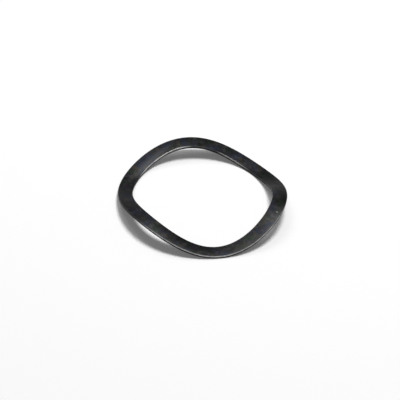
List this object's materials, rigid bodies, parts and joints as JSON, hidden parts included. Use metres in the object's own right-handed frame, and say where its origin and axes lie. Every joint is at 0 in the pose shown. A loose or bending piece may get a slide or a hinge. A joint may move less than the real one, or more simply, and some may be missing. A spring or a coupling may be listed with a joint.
{
  "type": "wave washer",
  "caption": "Blackened spring-steel wave washer with a narrow rim and uneven gentle waves, lying free on a flat surface.",
  "frame": {"origin": "on the ring's axis, in the plane of the flat surface that the lower waves rest on", "axes": "+Z along the ring's axis, up from the surface it rests on; +X crosses the rim just past the highest crest"},
  "size_m": [0.0392, 0.0392, 0.005],
  "materials": {
    "blackened_spring_steel": "black oxide over hardened spring steel, semi-gloss with a soft mottle"
  },
  "bodies": {
    "root": {"wave_washer": "blackened_spring_steel"}
  },
  "joints": []
}
